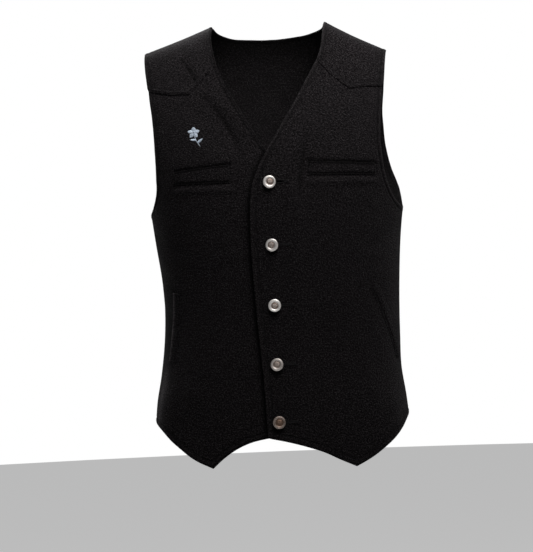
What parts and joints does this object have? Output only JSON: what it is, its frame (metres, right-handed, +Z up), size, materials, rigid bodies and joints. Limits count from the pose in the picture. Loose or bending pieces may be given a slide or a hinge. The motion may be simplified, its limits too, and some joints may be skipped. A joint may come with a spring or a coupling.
{
  "type": "western vest",
  "caption": "Sleeveless wool western vest in its worn shape: V neck, pointed shoulder yokes, chest and side welt pockets, lapped button front, pointed front hem, open neck, armholes and hem.",
  "frame": {"origin": "midway between the two neck points, where the shoulder seams meet the neckline, at the level of the wearer's shoulders", "axes": "+Z up along the wearer, -Y out of the buttoned front, +X to the wearer's left"},
  "size_m": [0.3896, 0.2277, 0.6711],
  "materials": {
    "wool": "charcoal melton wool with a soft nap and fine grey flecks",
    "button_metal": "antiqued nickel plate, darkened in its recesses"
  },
  "bodies": {
    "root": {"front_left": "wool", "front_right": "wool", "back": "wool", "yoke_left": "wool", "yoke_right": "wool", "chest_welt_left": "wool", "chest_welt_right": "wool", "side_welt_left": "wool", "side_welt_right": "wool", "button_1": "button_metal", "button_2": "button_metal", "button_3": "button_metal", "button_4": "button_metal", "button_5": "button_metal"}
  },
  "joints": []
}
